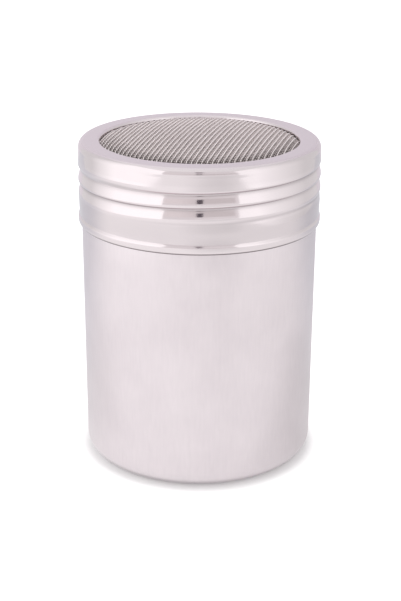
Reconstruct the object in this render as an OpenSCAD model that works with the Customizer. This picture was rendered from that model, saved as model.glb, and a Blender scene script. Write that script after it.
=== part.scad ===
// Screw-top steel shaker: a drawn can, a lid with a rolled thread, a domed wire gauze in the
// lid's mouth and the ring that clamps it there. Millimetres, +Z up, origin at the base's centre.

/* [Canister] */
// Radius of the wall just below the lid
can_r = 34.25; // [33.5:0.05:34.3]
// Draw taper: how much smaller the wall's radius is at the foot
can_draft = 0.25; // [0:0.05:0.5]
// Height of the rolled rim above the table
can_h = 93; // [88:0.5:93]
// Thickness of the canister's sheet
can_sheet = 0.6; // [0.5:0.05:0.7]
// Radius of the corner between the wall and the base
corner_r = 5; // [3:0.5:7]
// Width of the flat ring that the can stands on
foot_w = 3.5; // [2:0.5:5]
// How far the middle of the base is pushed up
panel_rise = 0.9; // [0.4:0.1:1.5]
// Radius of the neck under the lid, without its thread
neck_r = 33.5; // [33.2:0.05:33.5]
// Radius of the rolled rim's cross-section
rim_curl = 0.75; // [0.6:0.05:0.9]

/* [Lid] */
// Radius of the lid's skirt
lid_r = 35; // [35:0.1:36]
// Height of the lid's flat top above the table
lid_top = 95.4; // [95.4:0.1:96]
// Height of the lid from its lower edge to its flat top
lid_h = 24.2; // [23.5:0.1:24.5]
// Thickness of the lid's sheet
lid_sheet = 0.5; // [0.4:0.05:0.5]
// Radius of the mouth that the gauze closes
mouth_r = 28.7; // [26:0.1:29]
// Radius of the lid's outer top corner
shoulder_r = 2; // [1.5:0.1:2.2]
// Radius of the lip that turns down into the mouth
lip_r = 0.9; // [0.7:0.1:0.9]
// Straight end of the lip, which stands on the gauze
lip_end = 0.1; // [0.05:0.05:0.1]
// How far the rolled lower edge stands out from the skirt
bead_out = 0.25; // [0.1:0.05:0.4]

/* [Thread] */
// Rise of the thread in one turn
pitch = 4; // [3.8:0.1:4.1]
// Depth of the groove rolled into the lid's skirt
groove_depth = 0.7; // [0.5:0.05:0.7]
// Height of the bead rolled out of the canister's neck
bead_height = 0.75; // [0.5:0.05:0.75]
// Height at which the lid's groove starts
thread_start_z = 79.3; // [79:0.1:79.5]
// Direction in which the lid's groove starts, counted from +X
thread_start_angle = 198; // [0:1:359]
// Part of a turn over which the thread comes up to its full depth
run_out = 0.5; // [0.2:0.05:0.5]

/* [Gauze] */
// Rise of the gauze's dome above its rim
dome_rise = 2.5; // [1:0.1:3.5]
// Thickness of the gauze
gauze_t = 0.6; // [0.5:0.05:0.7]
// Spacing of the net's bars
net_pitch = 3.1; // [3:0.1:6]
// Width of the net's bars
net_bar = 0.7; // [0.4:0.1:1]
// Angle of the net's bars to the X axis
net_angle = 13; // [0:1:89]

/* [Retaining ring] */
// Thickness of the retaining ring's sheet
ring_sheet = 0.6; // [0.5:0.05:0.7]
// Depth of the ring's turned-down edge
ring_lip = 1.9; // [1:0.1:2]

/* [Hidden] */
$fn = 96;

// Straight facets round a threaded band, and how far their middles lie inside its corners
band_steps = 60;
band_sag = lid_r * (1 - cos(180 / band_steps));
// The bands' walls are this much thinner than the sheet they run into, and reach this far in
tuck = 0.04;
overlap_z = 0.3;

// Room between the lid's turning pieces and the round pieces that only rise with it
run_gap = 0.1;

gauze_z = lid_top - lip_r - lip_end;
ring_z = gauze_z - gauze_t - run_gap;
lid_low = lid_top - lid_h;

// The lid's plain stretches end, and its threaded band starts and stops, at these heights
lid_band = [thread_start_z - 2.7, thread_start_z + 3 * pitch + 1.5];
// The canister's thread is two turns long and starts a quarter turn after the lid's
neck_turns = 2;
neck_lag = 0.25;
neck_start_z = thread_start_z + neck_lag * pitch;
neck_band = [neck_start_z - 0.3, neck_start_z + pitch * (neck_turns + 0.84) + 0.3];
shoulder_z = lid_low + 1.4;
shoulder_h = 2.2;

// Sections of the thread over one pitch: height in pitches from the groove's bottom, and depth
// from 0 to 1. The groove is steep below a ridge and a long even slope above the next one.
lid_outside = [[-0.64, 0], [-0.56, 0.06], [-0.08, 0.9], [0, 1], [0.05, 0.9], [0.15, 0.15], [0.22, 0]];
lid_inside = [[-0.6, 0], [-0.12, 0.85], [-0.02, 1], [0.08, 1], [0.27, 0.1], [0.34, 0]];
neck_outside = [[0.06, 0], [0.13, 0.2], [0.28, 0.93], [0.34, 1], [0.42, 0.93], [0.74, 0.12], [0.84, 0]];
neck_inside = [[0.13, 0], [0.21, 0.2], [0.34, 0.9], [0.38, 0.9], [0.68, 0.12], [0.77, 0]];

// ---- Outlines of formed sheet --------------------------------------------------------------

function ease(x) = let (c = max(0, min(1, x))) c * c * (3 - 2 * c);

// Points on an arc from angle a to angle b
function arc(centre, r, a, b, n = 8) =
    [for (i = [0:n]) let (t = a + (b - a) * i / n) centre + r * [cos(t), sin(t)]];

// An S-shaped blend in radius, from p to q
function blend_r(p, q, n = 8) =
    [for (i = [0:n]) [p.x + (q.x - p.x) * ease(i / n), p.y + (q.y - p.y) * i / n]];

// An S-shaped blend in height, from p to q
function blend_z(p, q, n = 8) =
    [for (i = [0:n]) [p.x + (q.x - p.x) * i / n, p.y + (q.y - p.y) * ease(i / n)]];

function left_of(v) = [-v.y, v.x] / norm(v);

// The line that lies t to the left of a line of points
function beside(line, t) =
    [for (i = [0:len(line) - 1])
        line[i] + t * left_of(line[min(i + 1, len(line) - 1)] - line[max(i - 1, 0)])];

function reversed(line) = [for (i = [len(line) - 1:-1:0]) line[i]];

// A sheet spun round the axis: its finished side is the line, its thickness lies to the left of it
module spun_sheet(line, t) {
    rotate_extrude() polygon(concat(line, reversed(beside(line, t))));
}

// ---- Threaded bands ------------------------------------------------------------------------

// One upright line of points on a band, as height and radius
function column(section, r, depth, start_z, turns, ends, j) = concat(
    [[ends[0], r]],
    [for (k = [0:turns - 1]) for (s = section)
        let (turn = k + j / band_steps, full = ease(min(turn, turns - turn) / run_out))
        [start_z + pitch * (turn + s[0]), r + depth * s[1] * full]],
    [[ends[1], r]]);

function skin_points(section, r, depth, start_z, start_angle, turns, ends) =
    [for (j = [0:band_steps - 1]) let (a = start_angle + 360 * j / band_steps)
        for (p = column(section, r, depth, start_z, turns, ends, j))
            [p[1] * cos(a), p[1] * sin(a), p[0]]];

function quad(a, b, c, d) = [[a, b, c], [a, c, d]];

// Faces of one side of a band. In the last strip each row meets the one a turn further up, so
// the rows left over at its foot and its head are closed as fans on the plain wall.
function skin_faces(per_turn, turns, first) =
    let (top = per_turn * turns + 1, rows = top + 1, last = first + rows * (band_steps - 1),
         high = per_turn * (turns - 1))
    concat(
        [for (j = [0:band_steps - 2]) for (i = [0:top - 1]) let (a = first + j * rows + i)
            each quad(a, a + 1, a + rows + 1, a + rows)],
        [for (i = [0:per_turn]) [last, first + i + 1, first + i]],
        [[last, last + 1, first + per_turn + 1]],
        [for (i = [1:high - 1])
            each quad(last + i, last + i + 1, first + i + per_turn + 1, first + i + per_turn)],
        [[last + high, first + top, first + top - 1]],
        [for (i = [high:top - 1]) [last + i, last + i + 1, first + top]]);

function turned_over(faces) = [for (f = faces) [f[2], f[1], f[0]]];

// The flat end of a band, between its two sides
function end_faces(out_row, out_rows, in_first, in_row, in_rows) =
    [for (j = [0:band_steps - 1]) let (k = (j + 1) % band_steps)
        each quad(j * out_rows + out_row, k * out_rows + out_row,
                  in_first + k * in_rows + in_row, in_first + j * in_rows + in_row)];

// A band of sheet with a thread rolled into it. The depth is negative for a groove.
module threaded_band(outside, inside, r, t, depth, start_z, start_angle, turns, ends) {
    out_rows = len(outside) * turns + 2;
    in_rows = len(inside) * turns + 2;
    in_first = out_rows * band_steps;
    polyhedron(
        points = concat(
            skin_points(outside, r - tuck, depth, start_z, start_angle, turns, ends),
            skin_points(inside, r - t + tuck + band_sag, depth, start_z, start_angle, turns, ends)),
        faces = concat(
            skin_faces(len(outside), turns, 0),
            turned_over(skin_faces(len(inside), turns, in_first)),
            end_faces(0, out_rows, in_first, 0, in_rows),
            turned_over(end_faces(out_rows - 1, out_rows, in_first, in_rows - 1, in_rows))));
}

// ---- Pieces --------------------------------------------------------------------------------

// The drawn can: raised base panel, foot ring, round corner, wall, shoulder, threaded neck, rim
module canister() {
    foot_r = can_r - can_draft;
    flat_out = foot_r - corner_r;
    flat_in = flat_out - foot_w;
    below = concat(
        [[0, panel_rise]],
        blend_z([flat_in - 2.5, panel_rise], [flat_in, 0]),
        arc([flat_out, corner_r], corner_r, -90, 0, 10),
        blend_r([can_r, shoulder_z], [neck_r, shoulder_z + shoulder_h]),
        [[neck_r, neck_band[0] + overlap_z]]);
    curl = [neck_r - rim_curl, can_h - rim_curl];
    color([0.89, 0.86, 0.875]) union() {
        spun_sheet(below, can_sheet);
        threaded_band(neck_outside, neck_inside, neck_r, can_sheet, bead_height, neck_start_z,
                      thread_start_angle + 360 * neck_lag, neck_turns, neck_band);
        rotate_extrude() union() {
            translate(curl) circle(rim_curl);
            polygon([[neck_r, curl.y], [neck_r, neck_band[1] - overlap_z],
                     [neck_r - can_sheet, neck_band[1] - overlap_z], [neck_r - can_sheet, curl.y]]);
        }
    }
}

// The lid: lip, flat top, round shoulder, skirt with the rolled groove, beaded lower edge
module lid_shell() {
    above = concat(
        [[mouth_r, gauze_z]],
        arc([mouth_r + lip_r, lid_top - lip_r], lip_r, 180, 90),
        arc([lid_r - shoulder_r, lid_top - shoulder_r], shoulder_r, 90, 0),
        [[lid_r, lid_band[1] - overlap_z]]);
    bead_r = 1.1;
    bead = [lid_r + bead_out - bead_r, lid_low + bead_r];
    below = concat(
        [[lid_r, lid_band[0] + overlap_z]],
        blend_r([lid_r, bead.y + 1.8], [lid_r + bead_out, bead.y + 0.3]),
        arc(bead, bead_r, 0, -65));
    color([0.9, 0.88, 0.89]) union() {
        spun_sheet(above, -lid_sheet);
        threaded_band(lid_outside, lid_inside, lid_r, lid_sheet, -groove_depth, thread_start_z,
                      thread_start_angle, 3, lid_band);
        spun_sheet(below, -lid_sheet);
    }
}

// The square net, seen from above, inside the mouth
module net() {
    count = ceil(mouth_r / net_pitch);
    hole = net_pitch - net_bar;
    difference() {
        circle(mouth_r + 0.5);
        intersection() {
            circle(mouth_r);
            rotate(net_angle) for (i = [-count:count]) for (j = [-count:count])
                if (norm([i, j]) * net_pitch < mouth_r + hole / 2)
                    translate([i, j] * net_pitch) square(hole, center = true);
        }
    }
}

// The domed gauze and its flat rim, which the ring clamps under the lip
module gauze() {
    ball_r = (mouth_r * mouth_r + dome_rise * dome_rise) / (2 * dome_rise);
    ball_z = gauze_z + dome_rise - ball_r;
    rim_in = mouth_r + 0.15;
    rim_out = lid_r - shoulder_r - 0.2;
    color([0.72, 0.69, 0.68]) union() {
        intersection() {
            translate([0, 0, ball_z]) difference() {
                sphere(ball_r, $fn = 360);
                sphere(ball_r - gauze_t, $fn = 360);
            }
            translate([0, 0, gauze_z - gauze_t]) linear_extrude(dome_rise + gauze_t + 1) net();
        }
        translate([0, 0, gauze_z - gauze_t]) difference() {
            cylinder(h = gauze_t, r = rim_out);
            translate([0, 0, -1]) cylinder(h = gauze_t + 2, r = rim_in);
        }
    }
}

// The ring pressed into the lid to hold the gauze against the lip
module retaining_ring() {
    out_r = lid_r - lid_sheet - run_gap - 0.02;
    bend = ring_sheet + 0.4;
    line = concat(
        [[mouth_r + 0.6, ring_z]],
        arc([out_r - bend, ring_z - bend], bend, 90, 0),
        [[out_r, ring_z - ring_lip]]);
    color([0.8, 0.78, 0.79]) spun_sheet(line, -ring_sheet);
}

canister();
lid_shell();
gauze();
retaining_ring();
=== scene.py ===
"""Looks of a screw-top steel shaker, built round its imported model.

The shaker is four pieces of stainless steel: a deep-drawn can, a pressed lid with a thread
rolled into its skirt, a domed wire gauze in the lid's mouth, and the ring that clamps the
gauze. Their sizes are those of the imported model; lengths are metres, written through MM.
"""

import logging
import math
from collections.abc import Callable
from dataclasses import dataclass
from enum import Enum
from functools import cached_property
from typing import Any

import bmesh
import bpy
from mathutils import Matrix, Vector


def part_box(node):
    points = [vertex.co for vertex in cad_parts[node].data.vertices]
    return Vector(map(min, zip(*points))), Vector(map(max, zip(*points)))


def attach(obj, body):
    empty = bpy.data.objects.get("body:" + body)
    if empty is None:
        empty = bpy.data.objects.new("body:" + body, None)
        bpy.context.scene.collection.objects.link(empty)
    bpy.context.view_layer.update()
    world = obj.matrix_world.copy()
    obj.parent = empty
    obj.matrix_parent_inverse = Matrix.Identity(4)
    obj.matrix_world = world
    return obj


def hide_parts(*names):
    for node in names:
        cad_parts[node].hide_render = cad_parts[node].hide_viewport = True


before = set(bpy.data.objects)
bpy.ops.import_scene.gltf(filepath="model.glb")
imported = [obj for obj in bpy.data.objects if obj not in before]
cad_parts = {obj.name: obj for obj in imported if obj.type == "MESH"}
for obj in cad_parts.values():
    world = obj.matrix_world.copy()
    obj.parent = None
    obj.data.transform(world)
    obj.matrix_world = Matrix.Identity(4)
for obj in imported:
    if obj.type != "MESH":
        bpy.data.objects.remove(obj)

MM = 0.001
MERGE = 0.0005 * MM  # points that lie closer than this are one point
ROUND_STEPS = 240  # straight facets in one turn of a round piece
BEND_STEP = 9  # most degrees that a rolled section bends from one facet to the next
FLANK_STEP = 0.5 * MM  # a longer stretch of a rolled section gets two facets or more
FACES_UP = 0.5  # a face whose normal rises more than this looks up

# It paints shade in the lid's creases, under its bead and on the gauze by the lip, and it dulls the
# lid's plain bands and darkens them a little where the wheel did not reach.
HOLLOW = "hollow"  # a mesh's layer, from 0 to 1: painted shade, which also dulls the lid

Line = list[tuple[float, float]]  # points of an outline, as radius and height

log = logging.getLogger("shaker")


# ---- Outlines ------------------------------------------------------------------------------


def ease(x: float) -> float:
    """Returns a value that rises smoothly from 0 to 1 as x does."""
    c = min(1.0, max(0.0, x))
    return c * c * (3 - 2 * c)


def arc(centre: tuple[float, float], radius: float, start: float, end: float, steps: int) -> Line:
    """Draws an arc of an outline.

    Args:
        centre: Its centre, as radius and height.
        radius: Its radius.
        start: Direction of its first point in degrees, from outwards towards up.
        end: Direction of its last point.
        steps: Number of straight pieces.

    Returns:
        The arc's points, both ends among them.
    """
    turns = [math.radians(start + (end - start) * i / steps) for i in range(steps + 1)]
    return [(centre[0] + radius * math.cos(a), centre[1] + radius * math.sin(a)) for a in turns]


def s_curve(first: tuple[float, float], last: tuple[float, float], steps: int) -> Line:
    """Draws an S-shaped change of radius.

    Args:
        first: Its first point, as radius and height.
        last: Its last point.
        steps: Number of straight pieces.

    Returns:
        The curve's points, both ends among them.
    """
    shares = [i / steps for i in range(steps + 1)]
    return [
        (first[0] + (last[0] - first[0]) * ease(s), first[1] + (last[1] - first[1]) * s)
        for s in shares
    ]


def swell(first: tuple[float, float], last: tuple[float, float], steps: int) -> Line:
    """Draws an S-shaped change of height.

    Args:
        first: Its first point, as radius and height.
        last: Its last point.
        steps: Number of straight pieces.

    Returns:
        The curve's points, both ends among them.
    """
    shares = [i / steps for i in range(steps + 1)]
    return [
        (first[0] + (last[0] - first[0]) * s, first[1] + (last[1] - first[1]) * ease(s))
        for s in shares
    ]


# ---- Sheet metal ---------------------------------------------------------------------------


@dataclass(frozen=True)
class RolledThread:
    """A screw groove or bead, rolled into a tube of sheet.

    Its section is given by its slopes: (height above the thread's lowest line, slope in
    degrees), where a positive slope goes deeper with height and the deepest point is where the
    slope changes sign.
    """

    pitch: float
    start_z: float
    start_angle: float  # degrees from +X
    turns: float
    run_in: float  # turns over which it comes up to its full depth, from its lower end
    run_out: float  # turns over which it fades again, at its upper end
    depth: float  # outwards is positive
    slopes: Line
    soft_turn: float = 0.0  # where the roller slipped and left the upper flank wider
    soft_stretch: float = 0.0  # how much wider, as a share of the flank
    soft_spread: float = 0.1  # turns over which that comes and goes
    light_turn: float = 0.0  # turn where the grooves' painted shade and dullness are weakest
    light_spread: float = 0.5
    light_share: float = 0.8  # how much of the grooves' painted shade and dullness is lost there
    crease: float = 0.0  # how dark the painted shade in the grooves is at their tightest, and how dull they are there, from 0 to 1
    crease_power: int = 6  # how fast that fades down the long lower flank

    @cached_property
    def section(self) -> Line:
        """Draws the section from its slopes.

        Returns:
            Its points, as height and share of the full depth from 0 to 1.
        """
        points = [(self.slopes[0][0], 0.0)]
        for (low, slope_a), (high, slope_b) in zip(self.slopes, self.slopes[1:]):
            fewest = 2 if high - low > FLANK_STEP else 1
            steps = max(fewest, math.ceil(abs(slope_b - slope_a) / BEND_STEP))
            for i in range(steps):
                middle = math.radians(slope_a + (slope_b - slope_a) * (i + 0.5) / steps)
                height = low + (high - low) * (i + 1) / steps
                points.append((height, points[-1][1] + math.tan(middle) * (height - points[-1][0])))
        peak = max(range(len(points)), key=lambda i: points[i][1])
        top, left = points[peak][1], points[-1][1]
        rising = [(h, d / top) for h, d in points[: peak + 1]]
        return rising + [(h, (d - left) / (top - left)) for h, d in points[peak + 1 :]]

    def share(self, height: float) -> float:
        """Reads the section.

        Args:
            height: Height above the thread's lowest line at this turn.

        Returns:
            The share of the full depth there, from 0 to 1.
        """
        for (low, a), (high, b) in zip(self.section, self.section[1:]):
            if low <= height <= high:
                return a + (b - a) * (height - low) / (high - low)
        return 0.0

    def rolled(self, angle: float, z: float) -> tuple[float, float]:
        """Says how far the thread moves the wall.

        Args:
            angle: Direction of the point in degrees from +X.
            z: Height of the point.

        Returns:
            The change of radius there, and the share of painted shade and dullness in the groove
            there, from 0 to 1.
        """
        part = (angle - self.start_angle) / 360 % 1
        first = math.floor((z - self.start_z - self.section[-1][0]) / self.pitch - part)
        for whole in (first, first + 1, first + 2):
            turn = part + whole
            if 0 <= turn <= self.turns:
                height = z - self.start_z - self.pitch * turn
                slip = math.exp(-(((turn - self.soft_turn) / self.soft_spread) ** 2))
                if height > 0:
                    height /= 1 + self.soft_stretch * slip
                share = self.share(height)
                if share > 0:
                    full = ease(min(turn / self.run_in, (self.turns - turn) / self.run_out))
                    narrow = share if height > 0 else share**self.crease_power
                    light = math.exp(-(((turn - self.light_turn) / self.light_spread) ** 2))
                    # how much painted shade and dullness the groove gets here
                    dull = max(0.0, math.sqrt(full) - self.light_share * light)
                    return self.depth * share * full, self.crease * narrow * dull
        return 0.0, 0.0


def rim_loop(bm: bmesh.types.BMesh, z: float) -> list[bmesh.types.BMEdge]:
    """Finds one end of an open mesh.

    Args:
        bm: The mesh.
        z: Height of the end.

    Returns:
        The open edges that lie at that height.
    """
    return [
        e for e in bm.edges if e.is_boundary and all(abs(v.co.z - z) < MERGE for v in e.verts)
    ]


def threaded_tube(
    thread: RolledThread, radius: Callable[[float], float], low: float, high: float
) -> bmesh.types.BMesh:
    """Rolls a thread into a tube.

    One upright line of the section is spun along the screw's own path, so that the mesh's
    lines follow the groove, and the tube is then cut square.

    Args:
        thread: The thread.
        radius: Gives the tube's radius at a height.
        low: Height of its lower end.
        high: Height of its upper end.

    Returns:
        The tube's outer skin as an open mesh.
    """
    bm = bmesh.new()
    hollow = bm.verts.layers.float.new(HOLLOW)
    heights = [h for h, _ in thread.section]
    heights = [heights[-1] - thread.pitch] + heights
    below = math.ceil((thread.start_z + heights[0] + thread.pitch - low) / thread.pitch) + 1
    foot = thread.start_z - below * thread.pitch
    turns = math.ceil((high - foot - heights[0]) / thread.pitch) + 1
    turned = Matrix.Rotation(math.radians(thread.start_angle), 3, "Z")
    chain = [bm.verts.new(turned @ Vector((radius(low), 0, foot + h))) for h in heights]
    links = [bm.edges.new(pair) for pair in zip(chain, chain[1:])]
    bmesh.ops.spin(
        bm, geom=chain + links, cent=(0, 0, 0), axis=(0, 0, 1), angle=math.tau,
        dvec=(0, 0, thread.pitch / ROUND_STEPS), steps=ROUND_STEPS,
    )
    bmesh.ops.spin(
        bm, geom=bm.verts[:] + bm.edges[:] + bm.faces[:], cent=(0, 0, 0), axis=(0, 0, 1), angle=0,
        dvec=(0, 0, thread.pitch), steps=turns, use_duplicate=True,
    )
    bmesh.ops.remove_doubles(bm, verts=bm.verts, dist=MERGE)
    for z, outwards in ((low, -1), (high, 1)):
        bmesh.ops.bisect_plane(
            bm, geom=bm.verts[:] + bm.edges[:] + bm.faces[:], dist=MERGE, plane_co=(0, 0, z),
            plane_no=(0, 0, outwards), clear_outer=True,
        )
    for v in bm.verts:
        angle = math.degrees(math.atan2(v.co.y, v.co.x))
        moved, v[hollow] = thread.rolled(angle, v.co.z)
        v.co.xy = v.co.xy.normalized() * (radius(v.co.z) + moved)
    return bm


def carry_on(bm: bmesh.types.BMesh, line: Line) -> None:
    """Draws a round open mesh on from one of its ends.

    Args:
        bm: The mesh, with an open end at the line's first point.
        line: The outline that the sheet follows from there.
    """
    loop = rim_loop(bm, line[0][1])
    for (r_from, z_from), (r_to, z_to) in zip(line, line[1:]):
        made = bmesh.ops.extrude_edge_only(bm, edges=loop)["geom"]
        verts = [g for g in made if isinstance(g, bmesh.types.BMVert)]
        fresh = set(verts)
        loop = [
            g for g in made if isinstance(g, bmesh.types.BMEdge) and fresh.issuperset(g.verts)
        ]
        bmesh.ops.scale(bm, vec=(r_to / r_from, r_to / r_from, 1), verts=verts)
        bmesh.ops.translate(bm, vec=(0, 0, z_to - z_from), verts=verts)


def spun_skin(line: Line) -> bmesh.types.BMesh:
    """Spins an outline round the axis.

    Args:
        line: The outline.

    Returns:
        The open mesh that it makes.
    """
    bm = bmesh.new()
    chain = [bm.verts.new((r, 0, z)) for r, z in line]
    links = [bm.edges.new(pair) for pair in zip(chain, chain[1:])]
    bmesh.ops.spin(
        bm, geom=chain + links, cent=(0, 0, 0), axis=(0, 0, 1), angle=math.tau,
        steps=ROUND_STEPS, use_merge=True,
    )
    return bm


def into_sheet(bm: bmesh.types.BMesh, thickness: float, edge_round: float) -> None:
    """Gives a skin its thickness, on the side away from its faces, and breaks its cut edges.

    Args:
        bm: The skin, whose outside is further from the axis or higher than its inside.
        thickness: The sheet's thickness.
        edge_round: How far the cut edges are rounded.
    """
    bmesh.ops.remove_doubles(bm, verts=bm.verts, dist=MERGE)
    bmesh.ops.recalc_face_normals(bm, faces=bm.faces)
    widest = max(bm.faces, key=lambda f: f.calc_center_median().xy.length)
    if widest.normal.xy.dot(widest.calc_center_median().xy) < 0:
        bmesh.ops.reverse_faces(bm, faces=bm.faces)
    outside = set(bm.faces)
    inside = bmesh.ops.solidify(bm, geom=bm.faces[:], thickness=thickness)["geom"]
    between = set(bm.faces) - outside - set(inside)
    cut = [e for e in bm.edges if len(between.intersection(e.link_faces)) == 1]
    bmesh.ops.bevel(
        bm, geom=cut, offset=edge_round, affect="EDGES", segments=2, profile=0.5, material=-1,
        clamp_overlap=True,
    )


def stand(bm: bmesh.types.BMesh, name: str, *finishes: bpy.types.Material) -> bpy.types.Object:
    """Turns a finished mesh into a smooth-shaded piece of the scene.

    Args:
        bm: The mesh, which is freed.
        name: The piece's name.
        finishes: Its materials, in the order of the faces' material numbers.

    Returns:
        The new object, at the frame's origin.
    """
    mesh = bpy.data.meshes.new(name)
    bm.to_mesh(mesh)
    bm.free()
    mesh.shade_smooth()
    for finish in finishes:
        mesh.materials.append(finish)
    piece = bpy.data.objects.new(name, mesh)
    bpy.context.scene.collection.objects.link(piece)
    return piece


def fit(piece: bpy.types.Object, body: str, node: str) -> None:
    """Puts a piece in the place of a CAD node.

    Args:
        piece: The new piece.
        body: The body that it rides on.
        node: The CAD node that it stands for.
    """
    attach(piece, body)
    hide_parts(node)
    log.info("%s rides on %s for %s, %d faces", piece.name, body, node, len(piece.data.polygons))


# ---- Finishes ------------------------------------------------------------------------------

# A Mix node's colour sockets by number, since its sockets for plain numbers have the same names.
COLOUR_A, COLOUR_B, COLOUR_OUT = 6, 7, 2
NOISE_SPAN = (0.25, 0.75)  # most values of a noise lie between these


def linear(code: str) -> tuple[float, float, float, float]:
    """Turns a colour into the linear values that a shader takes.

    Args:
        code: Its sRGB hex value, such as "e4dbde".

    Returns:
        Its linear red, green, blue and alpha.
    """
    shares = [int(code[i : i + 2], 16) / 255 for i in (0, 2, 4)]
    r, g, b = [s / 12.92 if s <= 0.04045 else ((s + 0.055) / 1.055) ** 2.4 for s in shares]
    return (r, g, b, 1.0)


def node(
    tree: bpy.types.NodeTree, kind: str, inputs: dict[str | int, Any], **settings: Any
) -> bpy.types.Node:
    """Adds one shader node.

    Args:
        tree: The node tree.
        kind: The node's type.
        inputs: What goes into its sockets, by name or number: a value, or another socket.
        settings: The node's own settings.

    Returns:
        The new node.
    """
    made = tree.nodes.new(kind)
    for key, value in settings.items():
        setattr(made, key, value)
    for key, value in inputs.items():
        if isinstance(value, bpy.types.NodeSocket):
            tree.links.new(value, made.inputs[key])
        else:
            made.inputs[key].default_value = value
    return made


def new_tree(name: str) -> tuple[bpy.types.Material, bpy.types.NodeTree]:
    """Starts a material.

    Args:
        name: Its name.

    Returns:
        The material, and its node tree, which is empty.
    """
    material = bpy.data.materials.new(name)
    material.use_nodes = True
    material.node_tree.nodes.clear()
    return material, material.node_tree


@dataclass(frozen=True)
class Steel:
    """Stainless steel with a pattern of fine lines or grain, and a soft mottle.

    The mottle is the handling film and the unevenness of a drawn sheet: it shifts the gloss
    and the tint by a few per cent over a centimetre or so.
    """

    name: str
    colour: str
    dull: str  # tint where the mottle is strongest
    roughness: float
    mottle: float  # how much the mottle adds to the roughness
    mottle_size: float
    grain: tuple[float, float, float]  # size of the grain along X, Y and Z
    grain_height: float
    streaks: float  # how far the grain tints the metal, beside the mottle

    def surface(self, tree: bpy.types.NodeTree) -> tuple[bpy.types.Node, ...]:
        """Adds the shader that all the steel finishes share.

        Args:
            tree: The material's node tree.

        Returns:
            The shader, the coordinates, and the nodes that give the colour and the roughness.
        """
        place = node(tree, "ShaderNodeTexCoord", {})
        cloud = node(
            tree, "ShaderNodeTexNoise",
            {"Vector": place.outputs["Object"], "Scale": 1 / self.mottle_size, "Detail": 3.0},
        )
        stretch = node(
            tree, "ShaderNodeMapping",
            {"Vector": place.outputs["Object"], "Scale": tuple(1 / g for g in self.grain)},
        )
        lines = node(
            tree, "ShaderNodeTexNoise",
            {"Vector": stretch.outputs["Vector"], "Scale": 1.0, "Detail": 2.0},
        )
        worn = node(
            tree, "ShaderNodeMix",
            {"Factor": self.streaks, "A": cloud.outputs["Fac"], "B": lines.outputs["Fac"]},
        )
        tint = node(
            tree, "ShaderNodeMix",
            {
                "Factor": worn.outputs["Result"],
                COLOUR_A: linear(self.colour), COLOUR_B: linear(self.dull),
            },
            data_type="RGBA",
        )
        gloss = node(
            tree, "ShaderNodeMapRange",
            {
                "Value": cloud.outputs["Fac"],
                "From Min": NOISE_SPAN[0], "From Max": NOISE_SPAN[1],
                "To Min": self.roughness, "To Max": self.roughness + self.mottle,
            },
            interpolation_type="SMOOTHSTEP",
        )
        bump = node(
            tree, "ShaderNodeBump",
            {"Height": lines.outputs["Fac"], "Distance": self.grain_height, "Strength": 1.0},
        )
        shader = node(
            tree, "ShaderNodeBsdfPrincipled",
            {
                "Base Color": tint.outputs[COLOUR_OUT], "Roughness": gloss.outputs["Result"],
                "Normal": bump.outputs["Normal"], "Metallic": 1.0,
            },
        )
        node(tree, "ShaderNodeOutputMaterial", {"Surface": shader.outputs["BSDF"]})
        return shader, place, tint, gloss

    def build(self) -> bpy.types.Material:
        """Makes the finish.

        Returns:
            The material.
        """
        material, tree = new_tree(self.name)
        self.surface(tree)
        return material


@dataclass(frozen=True)
class PressedSteel(Steel):
    """Buffed steel that keeps a duller skin on its flat top and down in its creases, and is painted
    darker as shade in its creases and under its bead.
    """

    top_low: float  # heights between which the skin of the flat top begins
    top_high: float
    top_roughness: float
    top_colour: str
    crease: str  # colour of the painted shade in the creases and under the bead

    def build(self) -> bpy.types.Material:
        """Makes the finish.

        Returns:
            The material.
        """
        material, tree = new_tree(self.name)
        shader, place, tint, gloss = self.surface(tree)
        split = node(tree, "ShaderNodeSeparateXYZ", {"Vector": place.outputs["Object"]})
        on_top = node(
            tree, "ShaderNodeMapRange",
            {"Value": split.outputs["Z"], "From Min": self.top_low, "From Max": self.top_high},
        )
        hollow = node(tree, "ShaderNodeAttribute", {}, attribute_name=HOLLOW)
        missed = node(
            tree, "ShaderNodeMath", {0: on_top.outputs["Result"], 1: hollow.outputs["Fac"]},
            operation="MAXIMUM",
        )
        dulled = node(
            tree, "ShaderNodeMix",
            {
                "Factor": missed.outputs["Value"],
                "A": gloss.outputs["Result"], "B": self.top_roughness,
            },
        )
        topped = node(
            tree, "ShaderNodeMix",
            {
                "Factor": on_top.outputs["Result"],
                COLOUR_A: tint.outputs[COLOUR_OUT], COLOUR_B: linear(self.top_colour),
            },
            data_type="RGBA",
        )
        # painted shade: darker in the creases and under the bead, as the layer says
        stained = node(
            tree, "ShaderNodeMix",
            {
                "Factor": hollow.outputs["Fac"],
                COLOUR_A: topped.outputs[COLOUR_OUT], COLOUR_B: linear(self.crease),
            },
            data_type="RGBA",
        )
        tree.links.new(dulled.outputs["Result"], shader.inputs["Roughness"])
        tree.links.new(stained.outputs[COLOUR_OUT], shader.inputs["Base Color"])
        return material


@dataclass(frozen=True)
class WireSteel(Steel):
    """Wire with painted shade down by the lip, as much as its layer says."""

    film: str  # colour of the painted shade by the lip

    def build(self) -> bpy.types.Material:
        """Makes the finish.

        Returns:
            The material.
        """
        material, tree = new_tree(self.name)
        shader, _, tint, _ = self.surface(tree)
        hollow = node(tree, "ShaderNodeAttribute", {}, attribute_name=HOLLOW)
        filmed = node(
            tree, "ShaderNodeMix",
            {
                "Factor": hollow.outputs["Fac"],
                COLOUR_A: tint.outputs[COLOUR_OUT], COLOUR_B: linear(self.film),
            },
            data_type="RGBA",
        )
        tree.links.new(filmed.outputs[COLOUR_OUT], shader.inputs["Base Color"])
        return material


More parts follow.
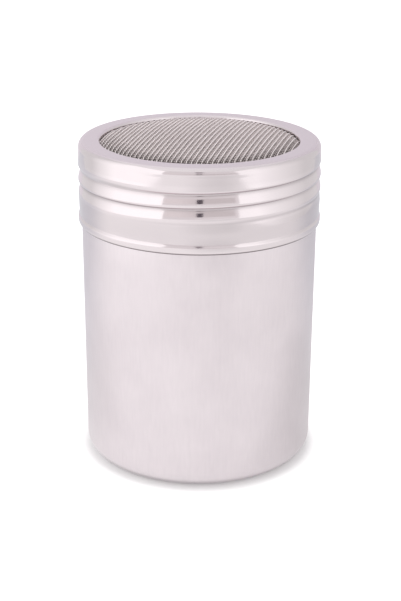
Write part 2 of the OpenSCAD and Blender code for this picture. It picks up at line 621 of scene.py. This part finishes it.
# Deep-drawn sheet: a broad, soft sheen with the faint upright streaks that the die leaves. Its
# roughness stays above 0.275, because the renderer takes smoother metal for a mirror and would
# draw an edge on the wall where the mottle crosses that value.
SATIN_STEEL = Steel(
    name="satin_drawn_steel", colour="ede4e7", dull="d8cfd3", roughness=0.28, mottle=0.06,
    mottle_size=12 * MM, grain=(0.7 * MM, 0.7 * MM, 5 * MM), grain_height=0.0015 * MM,
    streaks=0.35,
)
# Buffed sheet: sharp reflections that waver a little where the roller worked the metal, and a
# flat top that the buffing wheel misses. Its darkest colour is painted shade, in the thread's
# creases and under the bead.
PRESSED_STEEL = PressedSteel(
    name="buffed_pressed_steel", colour="e7dee0", dull="dfd6d9", roughness=0.07, mottle=0.04,
    mottle_size=9 * MM, grain=(6 * MM, 6 * MM, 0.5 * MM), grain_height=0.0004 * MM,
    streaks=0.2,
    top_low=94.75 * MM, top_high=95.2 * MM, top_roughness=0.3, top_colour="e4dbdf",
    crease="82797b",
)
# The inside of the can, which no wheel reaches: the grey skin that pickling leaves, painted far
# darker than that grey as the shade inside the can.
PICKLED_STEEL = Steel(
    name="pickled_steel_painted_dark", colour="484345", dull="3f3a3c", roughness=0.42, mottle=0.08,
    mottle_size=8 * MM, grain=(1.2 * MM, 1.2 * MM, 1.2 * MM), grain_height=0.002 * MM,
    streaks=0.5,
)
# Hard-drawn wire, a little browner than the sheet, with scratches from the die, and dark painted
# shade by the lip.
DRAWN_WIRE = WireSteel(
    name="drawn_steel_wire", colour="f6eae9", dull="e5d9d7", roughness=0.28, mottle=0.06,
    mottle_size=5 * MM, grain=(0.6 * MM, 0.6 * MM, 0.6 * MM), grain_height=0.002 * MM,
    streaks=0.5, film="4a4240",
)
# The same wire where every wipe of a hand or cloth touches it: brighter and smoother, with light
# painted shade by the lip.
WIPED_WIRE = WireSteel(
    name="wiped_steel_wire", colour="fffbfb", dull="faf3f3", roughness=0.22, mottle=0.04,
    mottle_size=5 * MM, grain=(0.6 * MM, 0.6 * MM, 0.6 * MM), grain_height=0.001 * MM,
    streaks=0.3, film="cfc4c2",
)
# Cold-rolled strip as it leaves the mill: greyer, with a fine frosted grain.
MILL_STEEL = Steel(
    name="mill_finish_steel", colour="cfc9ca", dull="c2bbbd", roughness=0.32, mottle=0.08,
    mottle_size=6 * MM, grain=(0.3 * MM, 0.3 * MM, 0.3 * MM), grain_height=0.002 * MM,
    streaks=0.5,
)


# ---- Pieces --------------------------------------------------------------------------------


@dataclass
class Canister:
    """The drawn can: base panel, foot ring, corner, wall, shoulder, threaded neck, rolled rim."""

    wall_r: float = 34.25 * MM
    draft: float = 0.25 * MM
    sheet: float = 0.6 * MM
    corner_r: float = 5 * MM
    foot_w: float = 3.5 * MM
    panel_rise: float = 0.9 * MM
    panel_blend: float = 2.5 * MM
    shoulder_z: float = 72.6 * MM
    shoulder_h: float = 2.2 * MM
    neck_r: float = 33.5 * MM
    neck_lines: tuple[float, float] = (78 * MM, 76.5 * MM)  # where facets meet on its plain foot
    neck_low: float = 80.0 * MM
    neck_high: float = 91.96 * MM
    rim_curl: float = 0.75 * MM
    rim_turn: float = 262  # degrees that the rim's curl goes round
    panel_rings: tuple[float, ...] = (0.75, 0.5, 0.25, 0.08, 0)  # shares of its radius
    wall_steps: int = 8
    edge: float = 0.1 * MM  # rounding of its cut edges
    thread: RolledThread = RolledThread(
        pitch=4 * MM, start_z=80.3 * MM, start_angle=288, turns=2, run_in=0.5, run_out=0.5,
        depth=0.75 * MM,
        slopes=[
            (0.24 * MM, 0), (0.5 * MM, 42), (0.83 * MM, 42), (1.4 * MM, 0),
            (1.87 * MM, -25), (2.9 * MM, -25), (3.36 * MM, 0),
        ],
    )

    def build(self, low: Vector, high: Vector) -> bpy.types.Object:
        """Makes the can.

        Args:
            low: Lowest corner of the CAD can.
            high: Highest corner of the CAD can.

        Returns:
            The finished piece.
        """
        bm = threaded_tube(self.thread, lambda z: self.neck_r, self.neck_low, self.neck_high)
        curl = (self.neck_r - self.rim_curl, high.z - self.rim_curl)
        rim = arc(curl, self.rim_curl, start=0, end=self.rim_turn, steps=20)
        carry_on(bm, [(self.neck_r, self.neck_high)] + rim)
        foot_r = self.wall_r - self.draft
        flat_out = foot_r - self.corner_r
        flat_in = flat_out - self.foot_w
        shoulder = (self.neck_r, self.shoulder_z + self.shoulder_h)
        wall_h = self.shoulder_z - self.corner_r
        wall = [
            (
                self.wall_r - self.draft * i / self.wall_steps,
                self.shoulder_z - wall_h * i / self.wall_steps,
            )
            for i in range(1, self.wall_steps)
        ]
        raised = (flat_in - self.panel_blend, low.z + self.panel_rise)
        carry_on(
            bm,
            [(self.neck_r, z) for z in (self.neck_low, *self.neck_lines)]
            + s_curve(shoulder, (self.wall_r, self.shoulder_z), steps=14)
            + wall
            + arc((flat_out, low.z + self.corner_r), self.corner_r, start=0, end=-90, steps=18)
            + swell((flat_in, low.z), raised, steps=8)
            + [(raised[0] * share, raised[1]) for share in self.panel_rings],
        )
        into_sheet(bm, self.sheet, self.edge)
        # the inner wall and the inner base get the pickled skin, painted dark as the shade inside
        # the can
        for face in bm.faces:
            middle = face.calc_center_median()
            in_wall = face.normal.xy.dot(middle.xy) < 0 and middle.z < self.neck_high
            in_base = face.normal.z > FACES_UP and middle.z < self.corner_r
            face.material_index = int(in_wall or in_base)
        piece = stand(bm, "drawn_can", SATIN_STEEL.build(), PICKLED_STEEL.build())
        fit(piece, "can", "canister")
        return piece


@dataclass
class LidShell:
    """The pressed lid: turned-down lip, flat top, round shoulder, rolled skirt, beaded edge."""

    skirt_r: float = 35.1 * MM  # where its belly is widest
    belly_z: float = 84 * MM
    belly: float = 2.2  # how fast it draws in above and below, per metre
    height: float = 24.2 * MM
    sheet: float = 0.5 * MM
    mouth_r: float = 28.7 * MM
    shoulder_r: float = 2 * MM
    lip_r: float = 0.9 * MM
    lip_end: float = 0.3 * MM  # straight end of the lip, which pinches the gauze
    bead_out: float = 0.15 * MM
    bead_r: float = 1.1 * MM
    bead_turn: float = 65  # degrees that the bead goes round
    underside: float = 0.8 * MM  # how far up the bead the painted shadow reaches, where the lid meets the can; it is dull there as well
    flare_low: float = 73.3 * MM
    flare_high: float = 74.25 * MM
    top: float = 95.4 * MM
    flat_lines: tuple[float, ...] = (0.25, 0.5, 0.75)  # where facets meet across its flat top
    band_low: float = 76.6 * MM
    band_high: float = 92.8 * MM
    edge: float = 0.08 * MM  # rounding of its cut edges
    bands_dull: tuple[float, float] = (0.11, 0.06)  # how far the wheel did not reach the two plain bands, which dulls them and darkens them a little towards the painted shade colour
    rolled: tuple[float, float] = (80.2 * MM, 90 * MM)  # between them, where the roller burnished
    band_fade: float = 1 * MM  # height over which a band's dullness begins
    thread: RolledThread = RolledThread(
        pitch=4 * MM, start_z=79.3 * MM, start_angle=198, turns=3, run_in=1, run_out=0.5,
        depth=-0.7 * MM,
        slopes=[
            (-2.9 * MM, 0), (-2.45 * MM, 12.5), (-1.2 * MM, 16), (-0.45 * MM, 21), (0, 0),
            (0.2 * MM, -50), (0.5 * MM, -50), (0.95 * MM, 0),
        ],
        soft_turn=2.06, soft_stretch=1.3, soft_spread=0.08, light_turn=1.75, crease=0.5,
    )

    def wall(self, z: float) -> float:
        """Returns the skirt's radius at height z."""
        return self.skirt_r - self.belly * (z - self.belly_z) ** 2

    def wear(self, bm: bmesh.types.BMesh, low: float) -> None:
        """Notes where the wheel did not reach the plain bands, which dulls them and darkens them a
        little, and paints shadow under the bead, beside the thread's creases.

        Args:
            bm: The lid's skin, with the painted shade of the thread's creases noted in its layer.
            low: Height of its lower end.
        """
        hollow = bm.verts.layers.float[HOLLOW]
        for v in bm.verts:
            below = self.bands_dull[0] * ease((self.rolled[0] - v.co.z) / self.band_fade)
            if v.co.z < self.flare_high:
                below *= ease((v.co.z - self.flare_low) / (self.flare_high - self.flare_low))
            above = self.bands_dull[1] * ease((v.co.z - self.rolled[1]) / self.band_fade)
            v[hollow] = max(v[hollow], below, above)
            # painted shadow under the bead, in the gap where the lid meets the can
            if v.co.z < low + self.underside:
                v[hollow] = ease(2 - 2 * (v.co.z - low) / self.underside)

    def build(self) -> bpy.types.Object:
        """Makes the lid.

        Returns:
            The finished piece.
        """
        bm = threaded_tube(self.thread, self.wall, self.band_low, self.band_high)
        shoulder = (self.wall(self.band_high) - self.shoulder_r, self.top - self.shoulder_r)
        lip = (self.mouth_r + self.lip_r, self.top - self.lip_r)
        flat_w = lip[0] - shoulder[0]
        flat = [(shoulder[0] + flat_w * share, self.top) for share in self.flat_lines]
        carry_on(
            bm,
            [(self.wall(self.band_high), self.band_high)]
            + arc(shoulder, self.shoulder_r, start=0, end=90, steps=16)
            + flat
            + arc(lip, self.lip_r, start=90, end=180, steps=10)
            + [(self.mouth_r, self.top - self.lip_r - self.lip_end)],
        )
        low = self.top - self.height
        foot_r = self.skirt_r + self.bead_out
        flare_top = (self.wall(self.flare_high), self.flare_high)
        bead = (foot_r - self.bead_r, low + self.bead_r)
        carry_on(
            bm,
            [(self.wall(self.band_low), self.band_low)]
            + s_curve(flare_top, (foot_r, self.flare_low), steps=14)
            + arc(bead, self.bead_r, start=0, end=-self.bead_turn, steps=10),
        )
        self.wear(bm, low)
        into_sheet(bm, self.sheet, self.edge)
        piece = stand(bm, "lid_pressing", PRESSED_STEEL.build())
        fit(piece, "lid", "lid_shell")
        return piece


class WireRun(Enum):
    """The sets of wires in the cloth: the warp's two halves, and the weft."""

    HIGH_WARP = "high_warp"
    LOW_WARP = "low_warp"
    WEFT = "weft"


@dataclass
class WovenGauze:
    """The domed wire cloth: a plain weave whose every second warp wire stands a little proud.

    The real cloth's wires are too fine to show here at their own thickness, so the proud ones,
    which show as bright lines, are much thicker.
    """

    spacing: float = 0.69 * MM
    wire_r: float = 0.097 * MM
    high_r: float = 0.18 * MM
    proud: float = 0.12 * MM  # how far the high warp wires stand above the cloth's middle
    squeeze: float = 0.45  # how much flatter the lip and the ring press the cloth
    steps_per_wave: int = 6
    turned: float = 13.5  # degrees from the Y axis to the warp, clockwise from above
    mouth_r: float = 28.7 * MM
    trim_r: float = 30.6 * MM
    trim_slack: float = 0.3  # how far past that a wire may reach, as a share of a facet
    rim_z: float = 93.95 * MM
    shoulder_w: float = 3.4 * MM
    shoulder_rise: float = 0.75 * MM
    crown_rise: float = 1.6 * MM
    wiped_r: float = 21 * MM  # out to here the cloth gets no painted shade
    missed_w: float = 7 * MM  # width of the band by the lip over which the painted shade grows
    film: tuple[float, float] = (0.17, 0.52)  # least and most of the painted shade at the lip
    film_at: float = 266  # direction in degrees from +X where the painted shade is darkest, nearly the cloth's front

    @property
    def climb(self) -> float:
        """How far a wire swings up and down to pass its neighbours."""
        return (self.wire_r + self.high_r) / 2

    def dome(self, r: float) -> float:
        """Shapes the dome.

        Args:
            r: A radius.

        Returns:
            The height of the cloth's middle there.
        """
        crown = self.crown_rise * max(0.0, 1 - (r / self.mouth_r) ** 2)
        bent = min(1.0, max(0.0, (self.mouth_r - r) / self.shoulder_w))
        return self.rim_z + crown + self.shoulder_rise * math.sin(bent * math.pi / 2)

    def weave(self, run: WireRun, along: float, number: int) -> float:
        """Finds how high a wire lies above the cloth's middle.

        Args:
            run: The set of wires.
            along: Distance along the wire from the middle of the cloth.
            number: The wire's number from the middle of the cloth.

        Returns:
            The height of the wire's centre line.
        """
        wave = math.cos(math.pi * along / self.spacing)
        odd = -1 if number % 2 else 1
        if run is WireRun.WEFT:
            return (self.proud - self.climb * odd) * wave
        return odd * (self.proud + self.climb * wave)

    def wire_at(self, spot: Vector) -> tuple[int, float]:
        """Finds the wire that a point belongs to, while all wires still run along X.

        Args:
            spot: The point.

        Returns:
            The wire's number from the middle of the cloth, and how far from the axis the
            wire's middle line is there.
        """
        number = round(spot.y / self.spacing)
        return number, math.hypot(spot.x, number * self.spacing)

    def film_left(self, spot: Vector) -> float:
        """Says how much painted shade the wire gets by the lip, darkest towards the front.

        Args:
            spot: A place on the cloth, seen from above.

        Returns:
            The painted shade's share there, from 0 to 1.
        """
        least, most = self.film
        off = math.atan2(spot.y, spot.x) - math.radians(self.film_at)
        missed = ease((spot.length - self.wiped_r) / self.missed_w)
        return missed * (least + (most - least) * math.sqrt(max(0.0, math.cos(off))))

    def wires(self, run: WireRun, sides: int, finish: bpy.types.Material) -> bpy.types.Object:
        """Makes one set of wires.

        Args:
            run: The set of wires.
            sides: Number of sides of a wire.
            finish: Their material.

        Returns:
            The finished piece.
        """
        bm = bmesh.new()
        hollow = bm.verts.layers.float.new(HOLLOW)
        step = 2 * self.spacing / self.steps_per_wave
        half = math.ceil(self.trim_r / step)
        gap = self.spacing if run is WireRun.WEFT else 2 * self.spacing
        shift = self.spacing if run is WireRun.LOW_WARP else 0.0
        radius = self.high_r if run is WireRun.HIGH_WARP else self.wire_r
        count = math.ceil(self.trim_r / gap)
        first = Matrix.Translation((-half * step, shift - count * gap, 0))
        facing = first @ Matrix.Rotation(math.pi / 2, 4, "Y")
        bmesh.ops.create_circle(bm, segments=sides, radius=radius, matrix=facing)
        bmesh.ops.spin(
            bm, geom=bm.verts[:] + bm.edges[:], cent=(0, 0, 0), axis=(1, 0, 0), angle=0,
            dvec=(step, 0, 0), steps=2 * half,
        )
        bmesh.ops.spin(
            bm, geom=bm.verts[:] + bm.edges[:] + bm.faces[:], cent=(0, 0, 0), axis=(1, 0, 0),
            angle=0, dvec=(0, gap, 0), steps=2 * count, use_duplicate=True,
        )
        reach = self.trim_r + self.trim_slack * step
        outside = [v for v in bm.verts if self.wire_at(v.co)[1] > reach]
        bmesh.ops.delete(bm, geom=outside, context="VERTS")
        bare = [v for v in bm.verts if not v.link_faces]  # what is left of the shortest wires
        bmesh.ops.delete(bm, geom=bare, context="VERTS")
        ends = [e for e in bm.edges if e.is_boundary]
        bmesh.ops.holes_fill(bm, edges=ends, sides=sides)
        for v in bm.verts:
            number, middle = self.wire_at(v.co)
            flatter = 1 - self.squeeze * ease((middle - self.mouth_r + self.spacing) / self.spacing)
            v.co.z = flatter * (v.co.z + self.weave(run, v.co.x, number)) + self.dome(middle)
        across = 0 if run is WireRun.WEFT else 90
        turn = Matrix.Rotation(math.radians(across - self.turned), 3, "Z")
        bmesh.ops.rotate(bm, cent=(0, 0, 0), matrix=turn, verts=bm.verts)
        bmesh.ops.recalc_face_normals(bm, faces=bm.faces)
        # painted shade by the lip, darkest towards the front
        for v in bm.verts:
            v[hollow] = self.film_left(v.co.xy)
        return stand(bm, f"gauze_{run.value}", finish)

    def build(self) -> None:
        """Makes the gauze's three sets of wires."""
        plain, wiped = DRAWN_WIRE.build(), WIPED_WIRE.build()
        for run, sides, finish in (
            (WireRun.HIGH_WARP, 8, wiped), (WireRun.LOW_WARP, 6, plain), (WireRun.WEFT, 5, plain),
        ):
            fit(self.wires(run, sides, finish), "lid", "gauze")


@dataclass
class RetainingRing:
    """The ring pressed up into the lid, which holds the gauze against the lip."""

    inner_r: float = 29.3 * MM
    outer_r: float = 34.38 * MM
    top: float = 93.7 * MM
    sheet: float = 0.6 * MM
    bend: float = 1 * MM
    drop: float = 1.9 * MM  # from its flat to its lower edge
    edge: float = 0.08 * MM  # rounding of its cut edges

    def build(self) -> bpy.types.Object:
        """Makes the ring.

        Returns:
            The finished piece.
        """
        line = (
            [(self.inner_r, self.top)]
            + arc((self.outer_r - self.bend, self.top - self.bend), self.bend, 90, 0, steps=10)
            + [(self.outer_r, self.top - self.drop)]
        )
        bm = spun_skin(line)
        into_sheet(bm, self.sheet, self.edge)
        piece = stand(bm, "clamp_ring", MILL_STEEL.build())
        fit(piece, "lift", "retaining_ring")
        return piece


# ---- Studio --------------------------------------------------------------------------------


@dataclass(frozen=True)
class LitCloth:
    """A cloth that gives out light of its own, at a strength that changes along one axis."""

    name: str
    colour: str
    near: float  # strength before the change
    far: float  # strength after it
    fade: tuple[float, float] = (0, 1)  # places along the axis between which it changes
    along: str = "Y"

    def build(self) -> bpy.types.Material:
        """Makes the cloth.

        Returns:
            The material.
        """
        material, tree = new_tree(self.name)
        place = node(tree, "ShaderNodeTexCoord", {})
        split = node(tree, "ShaderNodeSeparateXYZ", {"Vector": place.outputs["Object"]})
        strength = node(
            tree, "ShaderNodeMapRange",
            {
                "Value": split.outputs[self.along],
                "From Min": self.fade[0], "From Max": self.fade[1],
                "To Min": self.near, "To Max": self.far,
            },
        )
        lit = node(
            tree, "ShaderNodeEmission",
            {"Color": linear(self.colour), "Strength": strength.outputs["Result"]},
        )
        node(tree, "ShaderNodeOutputMaterial", {"Surface": lit.outputs["Emission"]})
        return material


# The tent's sides are brightest towards its front, and all of it is brighter on its left.
LEFT_CLOTH = LitCloth("left_side_cloth", "ffffff", 1.37, 0.84, (-0.05, 0.13))
RIGHT_CLOTH = LitCloth("right_side_cloth", "ffffff", 1.27, 0.8, (-0.22, 0.1))
BACK_CLOTH = LitCloth("back_cloth", "ece7ed", 1.02, 0.93, (-0.15, 0.15), "X")
TOP_CLOTH = LitCloth("top_cloth", "ffffff", 1.04, 0.93, (-0.25, 0.25), "X")
# The room through the tent's open front, and the lens and stand that look in there.
GAP_CLOTH = LitCloth("gap_cloth", "dfdada", 1.22, 0.98, (-0.14, 0.06), "X")
LENS_GLASS = LitCloth("lens_glass", "655c66", 0.72, 0.72)
STAND_CLOTH = LitCloth("stand_cloth", "a39aa0", 0.8, 0.8)


@dataclass(frozen=True)
class Shade:
    """A spot of the floor that shows darker in the metal."""

    middle: tuple[float, float, float]
    near: float  # out to here it is darkest
    far: float  # and here it ends
    light: float  # share of the light that is left


@dataclass(frozen=True)
class FloorCloth:
    """The floor's white cloth.

    The camera sees it white, but for the shadow close to the object. In the metal it is
    brightest at its front left and falls off, a little bluish, behind the object.
    """

    colour: str = "f4f4f4"
    lift: float = 0.6  # what it gives out by itself to the camera
    shadow_lift: float = 0.1  # and what is left of that in the shadow
    shadow_near: float = 0.0335  # distances from the axis between which the shadow fades
    shadow_far: float = 0.0384
    lit_share: float = 0.75  # how far the metal shows it as lit, in place of plain
    left: float = 1.12  # how bright the metal shows it on its left
    right: float = 1.0
    across: tuple[float, float] = (-0.02, 0.15)  # places along X between which that changes
    back_colour: str = "d4d6dc"
    behind: tuple[float, float] = (-0.02, 0.15)  # places along Y between which that begins
    shades: tuple[Shade, ...] = (
        Shade((0.078, 0.018, 0), 0.02, 0.07, 0.74),  # the object's own shadow, on its right
        Shade((-0.08, 0.025, 0), 0.02, 0.075, 0.84),  # and on its left
        Shade((0.09, -0.38, 0), 0.08, 0.22, 0.84),  # the tent's open front
        Shade((0.042, -0.022, 0), 0.01, 0.034, 0.84),  # close to its foot, in front on its right
        Shade((0, 0, 0), 0.035, 0.05, 0.95),  # all round its foot
        Shade((0, 0, 0), 0.031, 0.0345, 0.5),  # under the object's round edge
    )

    def seen(self, tree: bpy.types.NodeTree) -> bpy.types.Node:
        """Adds what the camera and the rough surfaces see of the floor.

        Args:
            tree: The material's node tree.

        Returns:
            The shader.
        """
        path = node(tree, "ShaderNodeLightPath", {})
        place = node(tree, "ShaderNodeTexCoord", {})
        away = node(
            tree, "ShaderNodeVectorMath", {0: place.outputs["Object"]}, operation="LENGTH"
        )
        clear = node(
            tree, "ShaderNodeMapRange",
            {
                "Value": away.outputs["Value"],
                "From Min": self.shadow_near, "From Max": self.shadow_far,
                "To Min": self.shadow_lift, "To Max": self.lift,
            },
        )
        strength = node(
            tree, "ShaderNodeMath",
            {0: path.outputs["Is Camera Ray"], 1: clear.outputs["Result"]}, operation="MULTIPLY",
        )
        cloth = node(tree, "ShaderNodeBsdfDiffuse", {"Color": linear(self.colour)})
        lift = node(
            tree, "ShaderNodeEmission",
            {"Color": linear("ffffff"), "Strength": strength.outputs["Value"]},
        )
        return node(
            tree, "ShaderNodeAddShader", {0: cloth.outputs["BSDF"], 1: lift.outputs["Emission"]}
        )

    def mirrored(self, tree: bpy.types.NodeTree) -> bpy.types.Node:
        """Adds what the metal shows of the floor.

        Args:
            tree: The material's node tree.

        Returns:
            The shader.
        """
        place = node(tree, "ShaderNodeTexCoord", {})
        split = node(tree, "ShaderNodeSeparateXYZ", {"Vector": place.outputs["Object"]})
        across = node(
            tree, "ShaderNodeMapRange",
            {
                "Value": split.outputs["X"],
                "From Min": self.across[0], "From Max": self.across[1],
                "To Min": self.left, "To Max": self.right,
            },
        )
        behind = node(
            tree, "ShaderNodeMapRange",
            {
                "Value": split.outputs["Y"],
                "From Min": self.behind[0], "From Max": self.behind[1],
            },
            interpolation_type="SMOOTHSTEP",
        )
        tone = node(
            tree, "ShaderNodeMix",
            {
                "Factor": behind.outputs["Result"],
                COLOUR_A: linear("ffffff"), COLOUR_B: linear(self.back_colour),
            },
            data_type="RGBA",
        )
        level = across.outputs["Result"]
        for shade in self.shades:
            off = node(
                tree, "ShaderNodeVectorMath", {0: place.outputs["Object"], 1: shade.middle},
                operation="DISTANCE",
            )
            patch = node(
                tree, "ShaderNodeMapRange",
                {
                    "Value": off.outputs["Value"],
                    "From Min": shade.near, "From Max": shade.far, "To Min": shade.light,
                },
                interpolation_type="SMOOTHSTEP",
            )
            dimmed = node(
                tree, "ShaderNodeMath", {0: level, 1: patch.outputs["Result"]},
                operation="MULTIPLY",
            )
            level = dimmed.outputs["Value"]
        return node(
            tree, "ShaderNodeEmission", {"Color": tone.outputs[COLOUR_OUT], "Strength": level}
        )

    def build(self) -> bpy.types.Material:
        """Makes the cloth.

        Returns:
            The material.
        """
        material, tree = new_tree("white_floor")
        path = node(tree, "ShaderNodeLightPath", {})
        share = node(
            tree, "ShaderNodeMapRange",
            {"Value": path.outputs["Is Glossy Ray"], "To Max": self.lit_share},
        )
        mixed = node(
            tree, "ShaderNodeMixShader",
            {
                0: share.outputs["Result"],
                1: self.seen(tree).outputs["Shader"], 2: self.mirrored(tree).outputs["Emission"],
            },
        )
        node(tree, "ShaderNodeOutputMaterial", {"Surface": mixed.outputs["Shader"]})
        return material


@dataclass(frozen=True)
class Viewpoint:
    """Where the camera stands, and its lens."""

    tilt: float = 0.3563  # how far it looks down, in radians
    roll: float = 0.0054
    distance: float = 0.4126  # from the point on the axis that it looks at
    aim_z: float = 0.04552
    aside: float = 0.00049
    focal_px: float = 1376.1
    frame_px: float = 601  # the longer side of the picture
    sensor_w: float = 36  # the same side on the sensor, in millimetres
    clip: tuple[float, float] = (0.01, 20)

    def build(self) -> None:
        """Places the camera, looking down on the object from its front."""
        data = bpy.data.cameras.new("camera")
        data.sensor_fit = "AUTO"
        data.sensor_width = self.sensor_w
        data.lens = self.focal_px / self.frame_px * self.sensor_w
        data.clip_start, data.clip_end = self.clip
        camera = bpy.data.objects.new("camera", data)
        bpy.context.scene.collection.objects.link(camera)
        back = -self.distance * math.cos(self.tilt)
        up = self.aim_z + self.distance * math.sin(self.tilt)
        camera.matrix_world = (
            Matrix.Translation((self.aside, back, up))
            @ Matrix.Rotation(math.pi / 2 - self.tilt, 4, "X")
            @ Matrix.Rotation(self.roll, 4, "Z")
        )
        bpy.context.scene.camera = camera


@dataclass
class Studio:
    """A small white light tent with an open front, where the camera stands."""

    reach: float = 0.29  # from the object to each side of the tent
    behind: float = 0.34  # from the object to its back
    height: float = 0.5
    left_front: float = 33  # how far round each side comes, in degrees from the camera
    right_front: float = 35
    floor_r: float = 3.0
    floor_gap: float = 0.05 * MM  # between the floor and the object's foot
    front: float = 0.42  # from the object to the tent's open front
    gap_size: tuple[float, float] = (0.52, 0.092)
    gap_z: float = 0.192
    lens_at: float = 0.38  # from the lid to the lens and the stand
    lid_z: float = 0.085
    lens_size: tuple[float, float] = (0.036, 0.058)
    lens_up: float = 12.5  # height of the lens in degrees, as seen from the lid
    stand_size: tuple[float, float] = (0.038, 0.1)
    stand_up: float = 38
    room: str = "f2eff0"  # colour of the room's light

    def card(self, name: str, size: tuple[float, float], place: Matrix, cloth: LitCloth) -> None:
        """Hangs one flat card that lights the object and shows in its metal, but isn't seen.

        Args:
            name: The card's name.
            size: Its width and height.
            place: Where it hangs; it is drawn in its own X and Y.
            cloth: What it is covered with.
        """
        bm = bmesh.new()
        bmesh.ops.create_grid(bm, x_segments=1, y_segments=1, size=0.5)
        bmesh.ops.scale(bm, vec=(size[0], size[1], 1), verts=bm.verts)
        bmesh.ops.transform(bm, matrix=place, verts=bm.verts)
        card = stand(bm, name, cloth.build())
        card.visible_camera = False

    def floor(self) -> None:
        """Lays the floor a hair below the object's foot."""
        bm = bmesh.new()
        bmesh.ops.create_circle(bm, cap_ends=True, segments=64, radius=self.floor_r)
        bmesh.ops.translate(bm, vec=(0, 0, -self.floor_gap), verts=bm.verts)
        bmesh.ops.recalc_face_normals(bm, faces=bm.faces)
        floor = stand(bm, "floor", FloorCloth().build())

    def tent(self) -> None:
        """Hangs the tent's lit sides, its back and its top."""
        upright = Matrix.Rotation(math.pi / 2, 4, "X")
        side = Matrix.Rotation(math.pi / 2, 4, "Z") @ upright
        for name, x, front, cloth in (
            ("left_side", -self.reach, self.left_front, LEFT_CLOTH),
            ("right_side", self.reach, self.right_front, RIGHT_CLOTH),
        ):
            y_front = -self.reach / math.tan(math.radians(front))
            place = Matrix.Translation((x, (y_front + self.behind) / 2, self.height / 2))
            self.card(name, (self.behind - y_front, self.height), place @ side, cloth)
        back = Matrix.Translation((0, self.behind, self.height / 2)) @ upright
        self.card("back_side", (2 * self.reach, self.height), back, BACK_CLOTH)
        top = Matrix.Translation((0, 0, self.height))
        self.card("top_side", (2 * self.reach, 2 * self.behind), top, TOP_CLOTH)

    def toward(self, angle: float) -> Matrix:
        """Finds the place of a card in front of the lid, square to the line from it.

        Args:
            angle: Height of the card's middle in degrees, as seen from the lid.

        Returns:
            The card's place.
        """
        up = math.radians(angle)
        out, rise = self.lens_at * math.cos(up), self.lens_at * math.sin(up)
        place = Matrix.Translation((0, -out, self.lid_z + rise))
        return place @ Matrix.Rotation(math.pi / 2 - up, 4, "X")

    def open_front(self) -> None:
        """Hangs what a polished lid shows in its middle: the tent's open front, lens and stand."""
        upright = Matrix.Rotation(math.pi / 2, 4, "X")
        gap = Matrix.Translation((0, -self.front, self.gap_z)) @ upright
        self.card("front_gap", self.gap_size, gap, GAP_CLOTH)
        self.card("lens", self.lens_size, self.toward(self.lens_up), LENS_GLASS)
        self.card("camera_stand", self.stand_size, self.toward(self.stand_up), STAND_CLOTH)

    def world(self) -> None:
        """Sets a white backdrop for the camera and a pale room for everything else."""
        world = bpy.data.worlds.new("room")
        bpy.context.scene.world = world
        world.use_nodes = True
        tree = world.node_tree
        tree.nodes.clear()
        path = node(tree, "ShaderNodeLightPath", {})
        shade = node(
            tree, "ShaderNodeMix",
            {
                "Factor": path.outputs["Is Camera Ray"],
                COLOUR_A: linear(self.room), COLOUR_B: linear("ffffff"),
            },
            data_type="RGBA",
        )
        sky = node(
            tree, "ShaderNodeBackground", {"Color": shade.outputs[COLOUR_OUT], "Strength": 1.0}
        )
        node(tree, "ShaderNodeOutputWorld", {"Surface": sky.outputs["Background"]})

    def build(self) -> None:
        """Builds the whole studio."""
        self.floor()
        self.tent()
        self.open_front()
        self.world()
        Viewpoint().build()
        bpy.context.scene.view_settings.view_transform = "Standard"


def main() -> None:
    logging.basicConfig(level=logging.INFO, format="%(name)s: %(message)s")
    bpy.context.view_layer.update()
    Canister().build(*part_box("canister"))
    LidShell().build()
    WovenGauze().build()
    RetainingRing().build()
    Studio().build()
    bpy.context.view_layer.update()


if __name__ == "__main__":
    main()
